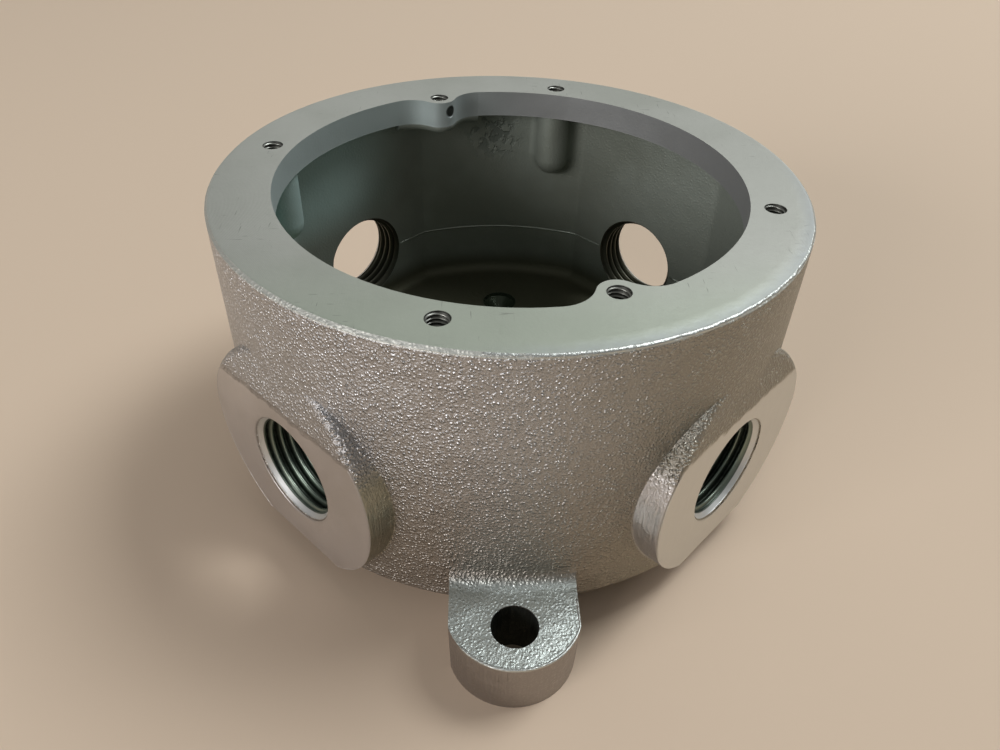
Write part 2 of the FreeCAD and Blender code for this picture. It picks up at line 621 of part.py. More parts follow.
# ---------------------------------------------------------------- checks and export
for item in doc.Objects:
    if "Invalid" in item.State or "Error" in item.State:
        raise RuntimeError(f"{item.Name} is {item.State}")
shape = body.Shape
if shape.isNull() or not shape.isValid() or len(shape.Solids) != 1:
    raise RuntimeError(f"{body.Label} is not one valid solid")
os.makedirs("parts", exist_ok=True)
shape.exportStep(os.path.join("parts", f"{body.Label}.step"))
box = shape.BoundBox
print(f"{body.Label}: {box.XLength:.2f} x {box.YLength:.2f} x {box.ZLength:.2f} mm, "
      f"{shape.Volume / 1000:.1f} cm3, {len(shape.Faces)} faces")
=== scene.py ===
"""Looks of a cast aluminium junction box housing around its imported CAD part. Metres throughout."""
import json
import math
import random
from types import SimpleNamespace

import bmesh
import bpy
from mathutils import Matrix, Vector


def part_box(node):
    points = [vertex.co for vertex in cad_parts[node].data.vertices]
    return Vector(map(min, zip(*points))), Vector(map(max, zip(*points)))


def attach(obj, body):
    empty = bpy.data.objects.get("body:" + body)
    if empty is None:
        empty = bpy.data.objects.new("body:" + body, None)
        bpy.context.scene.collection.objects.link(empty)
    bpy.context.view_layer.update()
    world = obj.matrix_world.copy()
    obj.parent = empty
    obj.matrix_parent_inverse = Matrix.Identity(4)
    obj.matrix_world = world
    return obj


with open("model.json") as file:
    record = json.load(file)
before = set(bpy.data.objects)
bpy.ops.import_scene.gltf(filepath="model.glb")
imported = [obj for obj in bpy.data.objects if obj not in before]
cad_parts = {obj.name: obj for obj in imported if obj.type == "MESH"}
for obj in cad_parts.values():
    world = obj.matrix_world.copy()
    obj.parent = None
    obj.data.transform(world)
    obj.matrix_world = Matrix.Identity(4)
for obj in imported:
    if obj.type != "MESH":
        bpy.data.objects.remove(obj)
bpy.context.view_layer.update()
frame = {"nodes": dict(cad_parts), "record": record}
MM = 0.001
UP = Vector((0, 0, 1))

# ---------------------------------------------------------------- sizes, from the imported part
mounts = {mount["name"]: mount for mount in frame["record"]["mounts"]}
low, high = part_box("housing")
RIM_Z = high.z
PORT_Z = mounts["port_front_right"]["pos_m"][2]
PORT_ROOT = mounts["port_front_right"]["dims"]["r_mm"] * MM
COVER_R = mounts["cover_screws"]["dims"]["pcd_mm"] / 2 * MM
LOBE_R = mounts["device_screws"]["dims"]["pcd_mm"] / 2 * MM
LUG_TOP = mounts["lug_holes"]["pos_m"][2]
LUG_HOLE_Y = mounts["lug_holes"]["dims"]["spacing_y_mm"] / 2 * MM
LUG_REACH = -low.y          # outer end of a lug from the axis

# ---------------------------------------------------------------- sizes that the record doesn't give
PORT_FACE = 55.9 * MM       # machined port face from the axis
PORT_PAD = 47.3 * MM        # flat behind a port, at the inner end of its thread, from the axis
BODY_R = 55.3 * MM
CAVITY_R = 51.0 * MM
LIP_R = 44.0 * MM           # narrower bore under the rim
LIP_Z = RIM_Z - 5.5 * MM    # its lower end
FLOOR_Z = 9.6 * MM
BOSS_R = 22.29 * MM
BOSS_RISE = 1.8 * MM        # centre of a boss outline above its port axis
LUG_HALF = 11.0 * MM        # half the width of a lug
LUG_END_R = 11.6 * MM
LUG_HOLE_R = 4.05 * MM
SPOT_Y = 34.6 * MM          # blind spot drilling in the floor
SPOT_R = 4.05 * MM
PORT_TURNS = (-135, -45, 45, 135)   # azimuths of the ports, in degrees
FIRST_COVER = -104.6        # azimuth of the first cover screw hole
FIRST_LOBE = -69.5          # azimuth of the first lobe
PAD_HALF = math.sqrt(CAVITY_R ** 2 - PORT_PAD ** 2)     # half the width of the flat behind a port

# ---------------------------------------------------------------- threads
PORT_CREST = 9.32 * MM
SCREW_CREST = 1.65 * MM
PORT_THREAD = dict(start=0.36 * MM, depth=PORT_FACE - PORT_PAD - 0.02 * MM, pitch=1.814 * MM,
                   crest=PORT_CREST, root=PORT_ROOT, cover=PORT_ROOT + 0.12 * MM,
                   per_turn=16, steps=144, mouth_slope=0.7, lead=0.8 * MM)
SCREW_THREAD = dict(start=0.02 * MM, pitch=0.7 * MM, crest=SCREW_CREST, root=2.0 * MM, cover=2.1 * MM,
                    per_turn=10, steps=40, mouth_slope=0.9)
COVER_THREAD_DEPTH = 9.0 * MM
LOBE_THREAD_DEPTH = 6.0 * MM
THREAD_FLAT = 0.16          # share of half a pitch that is flat at the crest, and again at the root
BORE_CLEARANCE = 0.05 * MM  # keeps a thread's root inside the facets of its bore


def at_turn(radius, turn, height):
    """The point at a radius, an azimuth in degrees and a height."""
    angle = math.radians(turn)
    return Vector((radius * math.cos(angle), radius * math.sin(angle), height))


# ---------------------------------------------------------------- node helpers
class Nodes:
    """Short ways to add and link shader nodes in one material."""

    def __init__(self, name):
        self.material = bpy.data.materials.new(name)
        self.material.use_nodes = True
        self.tree = self.material.node_tree
        self.tree.nodes.clear()
        self.out = self.tree.nodes.new("ShaderNodeOutputMaterial")
        self.shader = self.tree.nodes.new("ShaderNodeBsdfPrincipled")
        self.tree.links.new(self.shader.outputs[0], self.out.inputs[0])
        coordinates = self.tree.nodes.new("ShaderNodeTexCoord")
        self.place = coordinates.outputs["Object"]
        split = self.add("ShaderNodeSeparateXYZ", Vector=self.place)
        self.x, self.y, self.z = split.outputs

    def add(self, kind, **inputs):
        node = self.tree.nodes.new(kind)
        for key, given in inputs.items():
            self.put(node.inputs[key], given)
        return node

    def put(self, socket, given):
        """Links a socket to another one, or sets its value."""
        if isinstance(given, bpy.types.NodeSocket):
            self.tree.links.new(given, socket)
        else:
            socket.default_value = given

    def math(self, operation, *given, clamp=False):
        node = self.tree.nodes.new("ShaderNodeMath")
        node.operation = operation
        node.use_clamp = clamp
        for socket, value in zip(node.inputs, given):
            self.put(socket, value)
        return node.outputs[0]

    def plus(self, *terms):
        result = terms[0]
        for term in terms[1:]:
            result = self.math("ADD", result, term)
        return result

    def minus(self, a, b):
        return self.math("SUBTRACT", a, b)

    def times(self, *factors):
        result = factors[0]
        for factor in factors[1:]:
            result = self.math("MULTIPLY", result, factor)
        return result

    def squares(self, a, b):
        """The sum of two squares."""
        return self.plus(self.times(a, a), self.times(b, b))

    def length(self, a, b):
        return self.math("SQRT", self.squares(a, b))

    def step(self, value, start, end):
        """0 at start, 1 at end, smooth between them."""
        node = self.add("ShaderNodeMapRange", Value=value)
        node.interpolation_type = "SMOOTHSTEP"
        if start < end:
            node.inputs["From Min"].default_value = start
            node.inputs["From Max"].default_value = end
        else:
            node.inputs["From Min"].default_value = end
            node.inputs["From Max"].default_value = start
            node.inputs["To Min"].default_value = 1.0
            node.inputs["To Max"].default_value = 0.0
        return node.outputs["Result"]

    def all_of(self, *masks):
        return self.times(*masks)

    def either(self, *masks):
        result = masks[0]
        for mask in masks[1:]:
            result = self.math("MAXIMUM", result, mask)
        return result

    def no(self, mask):
        return self.minus(1.0, mask)

    def near(self, point, reach, soft):
        """1 inside a ball about a point, fading to 0 over its outer part."""
        node = self.tree.nodes.new("ShaderNodeVectorMath")
        node.operation = "DISTANCE"
        self.put(node.inputs[0], self.place)
        node.inputs[1].default_value = point
        return self.step(node.outputs["Value"], reach, reach - soft)

    def noise(self, scale, detail=2.0, roughness=0.5, place=None):
        node = self.add("ShaderNodeTexNoise", Vector=place or self.place, Scale=scale, Detail=detail,
                        Roughness=roughness)
        return node.outputs["Fac"]

    def cells(self, scale):
        """Distance from the nearest of many scattered points."""
        return self.add("ShaderNodeTexVoronoi", Vector=self.place, Scale=scale).outputs["Distance"]

    def stretched(self, scale):
        """The place, scaled by a different factor along each axis."""
        return self.add("ShaderNodeMapping", Vector=self.place, Scale=scale).outputs[0]

    def mix(self, share, a, b):
        """Blends two numbers."""
        node = self.tree.nodes.new("ShaderNodeMix")
        node.data_type = "FLOAT"
        self.put(node.inputs[0], share)
        self.put(node.inputs[2], a)
        self.put(node.inputs[3], b)
        return node.outputs[0]

    def tint(self, share, a, b):
        """Blends two colours."""
        node = self.tree.nodes.new("ShaderNodeMix")
        node.data_type = "RGBA"
        self.put(node.inputs[0], share)
        self.put(node.inputs[6], a)
        self.put(node.inputs[7], b)
        return node.outputs[2]

    def bump(self, height, distance, normal=None):
        """Adds relief to a normal, or to the plain surface."""
        node = self.add("ShaderNodeBump", Height=height, Distance=distance)
        if normal:
            self.put(node.inputs["Normal"], normal)
        return node.outputs[0]


def rgb(r, g, b):
    return (r, g, b, 1.0)


# ---------------------------------------------------------------- the casting's material
def casting_areas(n):
    """Masks of the surfaces that look different, told apart by their place and by which way they face."""
    x, y, z = n.x, n.y, n.z
    radius = n.length(x, y)
    # distance out along the nearest port axis, sideways from that axis and up from it
    ax, ay = n.math("ABSOLUTE", x), n.math("ABSOLUTE", y)
    out = n.times(n.plus(ax, ay), math.sqrt(0.5))
    side = n.times(n.minus(ax, ay), math.sqrt(0.5))
    rise = n.minus(z, PORT_Z)
    geometry = n.tree.nodes.new("ShaderNodeNewGeometry")
    facing_up = n.add("ShaderNodeSeparateXYZ", Vector=geometry.outputs["True Normal"]).outputs["Z"]
    level = n.step(facing_up, 0.9, 0.99)
    outside = n.step(radius, BODY_R - 0.1 * MM, BODY_R + 0.1 * MM)
    ragged = n.times(n.minus(n.noise(260.0, 3.0, 0.6), 0.5), 3.2 * MM)

    area = SimpleNamespace()
    # what was machined: the rim, and each port face up to where the cast face leans away
    area.rim = n.all_of(n.step(z, RIM_Z - 0.15 * MM, RIM_Z - 0.05 * MM), level)
    area.face = n.all_of(n.step(out, PORT_FACE - 0.25 * MM, PORT_FACE - 0.05 * MM),
                         n.step(n.plus(rise, ragged), 14.4 * MM, 13.2 * MM))
    area.machined = n.either(area.rim, area.face)
    # the rim's outer border is worn down on the right front, and the band below it has a clean edge
    area.worn = n.all_of(
        n.step(n.plus(radius, n.times(ragged, 0.4)), BODY_R - 3.4 * MM, BODY_R - 0.4 * MM),
        n.step(y, 15 * MM, -15 * MM), n.step(x, -10 * MM, 12 * MM))
    area.edge = n.all_of(n.step(z, RIM_Z - 0.9 * MM, RIM_Z - 0.5 * MM),
                         n.step(radius, BODY_R - 1.0 * MM, BODY_R - 0.6 * MM))

    # the cavity with the spot drilling in its floor, and the lip under the rim
    area.spot = n.near((0, SPOT_Y, FLOOR_Z - 0.5 * MM), SPOT_R + 0.45 * MM, 0.3 * MM)
    cavity = n.all_of(n.step(radius, BODY_R - 0.9 * MM, BODY_R - 1.2 * MM),
                      n.step(z, FLOOR_Z - 1.0 * MM, FLOOR_Z - 0.3 * MM), n.no(area.rim))
    area.inside = n.either(cavity, area.spot)
    area.lip = n.all_of(n.step(z, LIP_Z - 0.2 * MM, LIP_Z + 0.1 * MM),
                        n.step(radius, LIP_R + 0.6 * MM, LIP_R + 0.3 * MM), n.no(area.rim))

    # the bosses' sides and the lugs, dragged smooth when the mould was drawn
    from_boss = n.math("ABSOLUTE", n.minus(n.length(side, n.minus(rise, BOSS_RISE)), BOSS_R))
    area.boss_side = n.all_of(n.step(from_boss, 0.35 * MM, 0.15 * MM), n.step(out, 40 * MM, 44 * MM),
                              n.step(rise, 14.0 * MM, 9.0 * MM), outside)
    area.lug_side = n.all_of(n.step(z, LUG_TOP - 0.05 * MM, LUG_TOP - 0.3 * MM),
                             n.step(ay, BODY_R - 1.5 * MM, BODY_R - 0.5 * MM), n.no(level))
    area.lug_top = n.all_of(n.step(z, LUG_TOP - 0.2 * MM, LUG_TOP - 0.02 * MM),
                            n.step(z, LUG_TOP + 3.0 * MM, LUG_TOP),
                            n.step(ay, BODY_R - 1 * MM, BODY_R + 1.5 * MM), n.step(facing_up, 0.3, 0.95))
    area.lug_hole = n.all_of(
        n.step(n.squares(x, n.minus(ay, LUG_HOLE_Y)),
               (LUG_HOLE_R + 0.25 * MM) ** 2, (LUG_HOLE_R + 0.1 * MM) ** 2),
        n.step(z, LUG_TOP - 0.1 * MM, LUG_TOP - 0.5 * MM))
    # patches low on the wall, dragged in the same way
    area.low_wall = n.all_of(n.step(z, 22 * MM, 12 * MM), n.step(n.noise(45.0, 2.0), 0.47, 0.62),
                             n.step(radius, BODY_R - 0.3 * MM, BODY_R - 0.1 * MM))

    # a pit in the side of the back lobe, and a rough patch high on the back wall
    area.pit = n.near(at_turn(38.9 * MM, FIRST_LOBE + 177.4, RIM_Z - 2.3 * MM), 1.5 * MM, 0.5 * MM)
    area.blotch = n.times(n.near((-2 * MM, CAVITY_R, 49 * MM), 9 * MM, 6 * MM),
                          n.step(n.noise(420.0, 3.0, 0.6), 0.47, 0.56))
    area.right = n.step(x, -5 * MM, 5 * MM)
    return area


def cast_grain(n):
    """Height of the pebbly cast skin."""
    pebbles = n.step(n.cells(1700.0), 0.65, 0.05)
    grain = n.noise(2600.0, 2.0, 0.5)
    broad = n.noise(650.0, 2.0, 0.5)
    return n.plus(n.times(pebbles, broad, 0.75), n.times(grain, 0.50), n.times(broad, 0.30))


def grain_size(n, area):
    """How strong the grain is: full on the skin, weak where it was dragged smooth, none where it was cut."""
    smooth = n.either(area.boss_side, area.lug_side, n.times(area.inside, 0.93), n.times(area.low_wall, 0.6),
                      n.times(area.edge, 0.8), n.times(area.lug_top, 0.72), area.lip)
    patchy = n.mix(n.noise(55.0, 2.0), 0.8, 1.2)
    coarser_right = n.mix(n.step(n.x, 0.0, 40 * MM), 1.0, 1.5)
    return n.times(n.mix(smooth, 1.0, n.mix(area.inside, 0.14, 0.05)), patchy, coarser_right,
                   n.no(area.machined))


def casting_normal(n, area, rough, scuffs):
    """Relief of the skin, the drag marks, the cut faces, the worn border, the pit and the rough patch."""
    normal = n.bump(n.times(rough, grain_size(n, area)), 0.48 * MM)
    streaks = n.noise(1.0, 3.0, 0.6, place=n.stretched((1900.0, 1900.0, 35.0)))
    dragged = n.either(area.boss_side, area.lug_side, n.times(area.low_wall, 0.7))
    normal = n.bump(n.times(streaks, dragged), 0.22 * MM, normal)
    feed = 0.22 * MM
    radius = n.length(n.x, n.y)
    turning = n.times(n.math("SINE", n.times(radius, 2 * math.pi / feed)), n.noise(120.0, 2.0))
    normal = n.bump(n.times(turning, area.rim), 0.006 * MM, normal)
    normal = n.bump(n.times(scuffs, area.machined), 0.03 * MM, normal)
    normal = n.bump(n.times(area.worn, area.rim, n.mix(scuffs, 0.7, 1.0)), -0.16 * MM, normal)
    swell = n.times(n.noise(90.0, 2.0), n.mix(area.inside, 1.0, 0.4), n.no(area.machined))
    normal = n.bump(swell, 0.9 * MM, normal)
    return n.bump(n.either(area.pit, n.times(area.blotch, 0.4)), -0.5 * MM, normal)


def skin_colour(n, area, stain, hollow):
    """Silver skin painted warmer and darker low down and to the right (painted reflection of the warm paper
    and painted shade), with clean edges, painted shade in the grain's hollows, and painted light and shade on
    the lugs and boss sides.
    """
    # painted reflection of the warm paper: the skin is painted warmer and darker low down, varied by the
    # stain noise
    painted_paper_reflection_low = n.times(n.step(n.z, 52 * MM, 14 * MM), n.mix(stain, 0.65, 1.0))
    skin = n.tint(painted_paper_reflection_low, rgb(0.64, 0.65, 0.67), rgb(0.36, 0.32, 0.27))
    # painted shade and painted reflection of the warm paper on the right front of the skin
    painted_shade_right_front = n.all_of(n.step(n.x, -5 * MM, 30 * MM), n.step(n.y, 5 * MM, -25 * MM))
    skin = n.tint(n.times(painted_shade_right_front, 0.75), skin, rgb(0.36, 0.335, 0.255))
    # painted shade in the hollows of the grain
    skin = n.tint(n.times(hollow, 0.35), skin, rgb(0.20, 0.18, 0.16))
    skin = n.tint(area.edge, skin, rgb(0.66, 0.68, 0.64))
    # painted highlight: the lug tops are painted pale and bluish, as if lit from overhead
    skin = n.tint(area.lug_top, skin, rgb(0.70, 0.76, 0.73))
    # painted shade and painted reflection of the warm paper on the lug sides
    skin = n.tint(area.lug_side, skin, rgb(0.36, 0.33, 0.31))
    # painted shade: the walls of the lug holes are painted dark
    skin = n.tint(area.lug_hole, skin, rgb(0.14, 0.15, 0.13))
    # painted light on the sides of the bosses on the right, painted shade and paper reflection on those on
    # the left
    boss_side = n.tint(area.right, rgb(0.38, 0.365, 0.29), rgb(0.58, 0.565, 0.56))
    return n.tint(area.boss_side, skin, boss_side)


def inner_colour(n, area, stain):
    """Dull greenish inside, painted paler high on the left as painted light, with painted shade towards the
    floor and in the spot drilling.
    """
    inner = n.tint(n.step(stain, 0.4, 0.65), rgb(0.31, 0.34, 0.30), rgb(0.24, 0.26, 0.22))
    # painted light: the inner wall is painted paler and teal high on the left
    painted_light_high_left = n.all_of(n.step(n.x, -22 * MM, -40 * MM), n.step(n.z, 30 * MM, 42 * MM))
    inner = n.tint(painted_light_high_left, inner, rgb(0.50, 0.66, 0.63))
    # painted shade: the inside is painted dark towards the floor, where the rim's shadow falls
    inner = n.tint(n.step(n.z, 17 * MM, 11 * MM), inner, rgb(0.11, 0.11, 0.07))
    inner = n.tint(n.times(area.blotch, 0.6), inner, rgb(0.12, 0.14, 0.12))
    # painted shade: the spot drilling is painted dark
    return n.tint(area.spot, inner, rgb(0.06, 0.08, 0.05))


def rim_colour(n, area, stain, scuffs):
    """Stained machined face with scratches two ways and a worn border."""
    top = n.tint(n.step(stain, 0.4, 0.7), rgb(0.525, 0.535, 0.495), rgb(0.46, 0.475, 0.43))
    top = n.tint(n.times(n.step(n.y, -25 * MM, -50 * MM), 0.6), top, rgb(0.45, 0.51, 0.415))
    along_y = n.step(n.noise(1.0, 2.0, 0.5, place=n.stretched((2600.0, 170.0, 1.0))), 0.67, 0.72)
    along_x = n.step(n.noise(1.0, 2.0, 0.5, place=n.stretched((210.0, 1900.0, 1.0))), 0.68, 0.73)
    scratch = n.times(n.either(along_y, along_x), n.step(n.noise(70.0, 1.0), 0.46, 0.56))
    top = n.tint(n.times(scratch, 0.7), top, rgb(0.24, 0.25, 0.22))
    return n.tint(n.times(area.worn, n.mix(scuffs, 0.2, 0.9)), top, rgb(0.44, 0.47, 0.49))


def casting_colour(n, area, hollow, scuffs):
    stain = n.noise(28.0, 3.0, 0.6)
    colour = n.tint(area.inside, skin_colour(n, area, stain, hollow), inner_colour(n, area, stain))
    # painted light on the lip's left side and painted shade on its right and back
    lip = n.tint(n.step(n.x, -25 * MM, 10 * MM), rgb(0.50, 0.58, 0.57), rgb(0.34, 0.345, 0.345))
    colour = n.tint(area.lip, colour, lip)
    # painted shade: the pit is painted near black
    colour = n.tint(area.pit, colour, rgb(0.03, 0.035, 0.03))
    colour = n.tint(area.rim, colour, rim_colour(n, area, stain, scuffs))
    left_face = n.tint(n.step(stain, 0.4, 0.65), rgb(0.66, 0.64, 0.64), rgb(0.57, 0.55, 0.54))
    return n.tint(area.face, colour, n.tint(area.right, left_face, rgb(0.67, 0.67, 0.64)))


def casting_roughness(n, area, hollow, scuffs):
    roughness = n.mix(hollow, 0.31, 0.45)
    roughness = n.mix(area.machined, roughness, n.mix(scuffs, 0.34, 0.50))
    roughness = n.mix(area.inside, roughness, 0.55)
    roughness = n.mix(area.spot, roughness, 0.25)
    roughness = n.mix(area.edge, roughness, 0.58)
    return n.mix(area.lug_top, roughness, 0.46)


def casting_material():
    """Cast skin, machined faces and the inside of the box in one material."""
    n = Nodes("cast_aluminium_skin")
    area = casting_areas(n)
    rough = cast_grain(n)
    hollow = n.step(rough, 0.72, 0.45)
    scuffs = n.noise(1.0, 4.0, 0.65, place=n.stretched((700.0, 700.0, 260.0)))
    n.put(n.shader.inputs["Base Color"], casting_colour(n, area, hollow, scuffs))
    n.put(n.shader.inputs["Metallic"], n.mix(area.inside, 1.0, 0.45))
    n.put(n.shader.inputs["Roughness"], casting_roughness(n, area, hollow, scuffs))
    n.put(n.shader.inputs["Normal"], casting_normal(n, area, rough, scuffs))
    return n.material


# ---------------------------------------------------------------- materials of the added pieces
def thread_material(name, crest, root, dark, light, clean=0.0):
    """Cut thread: bright crests and roots painted dark as painted shade, told apart by distance from the
    thread's own axis, which is the object's Z, and varied by a dirt noise. The first stretch from the mouth,
    of length clean, is bright."""
    n = Nodes(name)
    depth = n.step(n.length(n.x, n.y), crest, root)
    dirt = n.noise(900.0, 3.0, 0.6)
    share = n.math("MULTIPLY", depth, n.mix(dirt, 0.6, 1.1), clamp=True)
    # painted shade: darker towards the roots of the thread
    colour = n.tint(share, light, dark)
    if clean:
        colour = n.tint(n.step(n.z, -clean - 0.15 * MM, -clean), colour, rgb(0.74, 0.75, 0.74))
    n.put(n.shader.inputs["Base Color"], colour)
    n.shader.inputs["Metallic"].default_value = 1.0
    n.put(n.shader.inputs["Roughness"], n.mix(share, 0.36, 0.55))
    n.put(n.shader.inputs["Normal"], n.bump(n.noise(1400.0, 2.0), 0.02 * MM))
    return n.material


def bead_material(name, colour, roughness):
    """Rough thin metal of a flash line or burr, stained in places."""
    n = Nodes(name)
    stained = rgb(*(0.72 * part for part in colour[:3]))
    n.put(n.shader.inputs["Base Color"], n.tint(n.noise(300.0, 3.0, 0.6), colour, stained))
    n.shader.inputs["Metallic"].default_value = 1.0
    n.shader.inputs["Roughness"].default_value = roughness
    n.put(n.shader.inputs["Normal"], n.bump(n.noise(1800.0, 2.0), 0.16 * MM))
    return n.material


def paper_material():
    """Plain warm paper under the object."""
    n = Nodes("floor_paper")
    n.shader.inputs["Base Color"].default_value = rgb(0.74, 0.59, 0.45)
    n.shader.inputs["Roughness"].default_value = 0.85
    return n.material


# ---------------------------------------------------------------- mesh helpers
def make_object(name, vertices, faces, material, place=None):
    """A smooth piece of the casting that rides on its body."""
    mesh = bpy.data.meshes.new(name)
    mesh.from_pydata(vertices, [], faces)
    mesh.update()
    thing = bpy.data.objects.new(name, mesh)
    bpy.context.scene.collection.objects.link(thing)
    mesh.materials.append(material)
    for polygon in mesh.polygons:
        polygon.use_smooth = True
    work = bmesh.new()
    work.from_mesh(mesh)
    bmesh.ops.remove_doubles(work, verts=work.verts, dist=0.0005 * MM)
    bmesh.ops.recalc_face_normals(work, faces=work.faces)
    work.to_mesh(mesh)
    work.free()
    if place:
        thing.matrix_world = place
    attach(thing, "root")


def thread_radius(below, start, depth, pitch, crest, root, mouth_slope, lead, turns):
    """Radius of a thread at a distance below the mouth, so many turns along its helix from the start."""
    wave = 1 - abs(2 * ((start / pitch + turns) % 1.0) - 1)
    wave = min(max((wave - THREAD_FLAT) / (1 - 2 * THREAD_FLAT), 0.0), 1.0)
    cut = min(max((below - start - lead) / lead, 0.0), 1.0) if lead else 1.0
    radius = crest + (root - crest) * wave * cut
    radius = max(radius, root - (below - start) * mouth_slope, root - (depth - below))
    return min(radius, root - BORE_CLEARANCE)


def thread_liner(name, place, material, start, depth, pitch, crest, root, cover, per_turn, steps,
                 mouth_slope, lead=0.0):
    """Closed sleeve with a helical thread on its inside and a plain cover outside, its mesh rows along the
    helix. Its own +Z points out of the hole's mouth. The thread begins one lead below the sleeve's start and
    is fully deep another lead further down."""
    vertices, faces = [], []
    rows = math.ceil((depth - start + pitch) / pitch * per_turn) + 1
    wide = steps + 1
    for row in range(rows):
        for step in range(wide):
            angle = 2 * math.pi * step / steps
            below = start + pitch * (row / per_turn - step / steps)
            below = min(max(below, start), depth)
            radius = thread_radius(below, start, depth, pitch, crest, root, mouth_slope, lead, row / per_turn)
            vertices.append((radius * math.cos(angle), radius * math.sin(angle), -below))
    outer = len(vertices)
    for below in (start, depth):
        for step in range(wide):
            angle = 2 * math.pi * step / steps
            vertices.append((cover * math.cos(angle), cover * math.sin(angle), -below))
    last = (rows - 1) * wide
    for step in range(steps):
        after = step + 1
        for row in range(rows - 1):
            a, b = row * wide, (row + 1) * wide
            faces.append((a + step, a + after, b + after, b + step))
        faces.append((outer + step, outer + after, after, step))
        faces.append((outer + wide + step, outer + wide + after, outer + after, outer + step))
        faces.append((last + step, last + after, outer + wide + after, outer + wide + step))
    make_object(name, vertices, faces, material, place)


def sweep(name, path, sections, material):
    """Closed bead along an open path of (point, outward, up) frames. sections has, for each frame, the
    corners there, as distances outward and up. No corner leaves the part's own box."""
    count = len(sections[0])
    vertices, faces = [], []
    for (point, outward, up), corners in zip(path, sections):
        for across, above in corners:
            place = point + outward * across + up * above
            vertices.append(tuple(min(max(part, a), b) for part, a, b in zip(place, low, high)))
    for index in range(len(path) - 1):
        for corner in range(count):
            after = (corner + 1) % count
            a, b = index * count, (index + 1) * count
            faces.append((a + corner, a + after, b + after, b + corner))
    faces.append(tuple(range(count)))
    faces.append(tuple(reversed(range(len(vertices) - count, len(vertices)))))
    make_object(name, vertices, faces, material)


def arc_frames(radius, height, start, turned, steps, centre=Vector((0, 0, 0)), facing=1):
    """Frames along an arc about an upright axis. Angles are in degrees, and facing is -1 towards the axis."""
    frames = []
    for step in range(steps + 1):
        angle = start + turned * step / steps
        frames.append((centre + at_turn(radius, angle, height), at_turn(facing, angle, 0), UP))
    return frames


rng = random.Random(7)


def wander(steps, size):
    """Seeded smooth wobble: one value per step."""
    knots = [rng.uniform(-size, size) for _ in range(steps // 4 + 3)]
    values = []
    for step in range(steps + 1):
        spot, share = divmod(step / 4, 1)
        values.append(knots[int(spot)] * (1 - share) + knots[int(spot) + 1] * share)
    return values


# ---------------------------------------------------------------- threads
def add_port_threads():
    painted_shade_from = 10.2 * MM           # from this radius outwards the thread is painted dark, as painted shade
    clean = 1.15 * MM
    # painted shade: the threads of the front and back ports are painted dark, the back ones darker
    front = thread_material("front_port_thread", PORT_CREST, painted_shade_from, rgb(0.02, 0.025, 0.02),
                            rgb(0.26, 0.31, 0.26), clean)
    back = thread_material("back_port_thread", PORT_CREST, painted_shade_from, rgb(0.06, 0.06, 0.045),
                           rgb(0.13, 0.13, 0.10), clean)
    for index, turn in enumerate(PORT_TURNS):
        axis = at_turn(1.0, turn, 0.0)
        mouth = Matrix.Translation(axis * PORT_FACE + Vector((0, 0, PORT_Z)))
        place = mouth @ axis.to_track_quat("Z", "Y").to_matrix().to_4x4()
        thread_liner(f"port_thread_{index + 1}", place, back if axis.y > 0 else front, **PORT_THREAD)


def add_screw_threads():
    painted_shade_from = 1.95 * MM           # from this radius outwards the thread is painted dark, as painted shade
    material = thread_material("screw_thread", SCREW_CREST, painted_shade_from, rgb(0.04, 0.04, 0.035),
                               rgb(0.46, 0.47, 0.43))
    for name, count, radius, first, depth in (("cover", 4, COVER_R, FIRST_COVER, COVER_THREAD_DEPTH),
                                              ("lobe", 2, LOBE_R, FIRST_LOBE, LOBE_THREAD_DEPTH)):
        for index in range(count):
            place = Matrix.Translation(at_turn(radius, first + 360 // count * index, RIM_Z))
            thread_liner(f"{name}_thread_{index + 1}", place, material, depth=depth, **SCREW_THREAD)


# ---------------------------------------------------------------- flash lines and burrs
def pad_frames(turn, first, last, steps=8):
    """Frames across the flat behind a port, from one distance beside the port's axis to another."""
    out, aside = at_turn(1, turn, 0), at_turn(1, turn + 90, 0)
    frames = []
    for step in range(steps + 1):
        shift = first + (last - first) * step / steps
        frames.append((out * PORT_PAD + aside * shift + UP * PORT_Z, -out, UP))
    return frames


def flash_section(stand):
    """A bead rooted in the wall, which stands so far out of it."""
    root, foot, tip = 0.3 * MM, 0.28 * MM, 0.06 * MM
    return [(-root, -foot), (0.0, -foot), (stand, -tip), (stand, tip), (0.0, foot), (-root, foot)]


def add_flash_lines():
    """Flash line round the cavity, where the halves of the core met, in four stretches between the ports."""
    material = bead_material("flash_line", rgb(0.46, 0.50, 0.44), 0.42)
    gap = PORT_ROOT + 0.5 * MM
    half_turn = math.degrees(math.asin(PAD_HALF / CAVITY_R))
    for index, turn in enumerate(PORT_TURNS):
        wall = arc_frames(CAVITY_R, PORT_Z, turn + half_turn, 90 - 2 * half_turn, 24, facing=-1)
        path = pad_frames(turn, gap, PAD_HALF) + wall[1:-1] + pad_frames(turn + 90, -PAD_HALF, -gap)
        sections = [flash_section(0.20 * MM + wobble) for wobble in wander(len(path), 0.09 * MM)]
        sweep(f"flash_line_{index + 1}", path, sections, material)


def add_rim_burr(material):
    """Burr left by turning along the right front of the rim's outer edge."""
    first, turned, steps = -97, 93, 220
    path = arc_frames(BODY_R, RIM_Z, first, turned, steps)
    sections = []
    for step, wobble in enumerate(wander(steps, 0.13 * MM)):
        share = step / steps
        wobble += rng.uniform(-0.05, 0.05) * MM
        swell = math.sin(math.pi * min(share * 6, 1 - share, 0.5)) ** 0.5
        stand = wobble * swell - 0.07 * MM - 0.25 * MM * (1 - swell)
        sections.append([(-0.95 * MM, -0.10 * MM), (-0.30 * MM + stand, -0.015 * MM),
                         (0.02 * MM + stand, -0.30 * MM), (0.02 * MM + stand, -0.55 * MM),
                         (-0.45 * MM, -0.85 * MM)])
    sweep("rim_burr", path, sections, material)


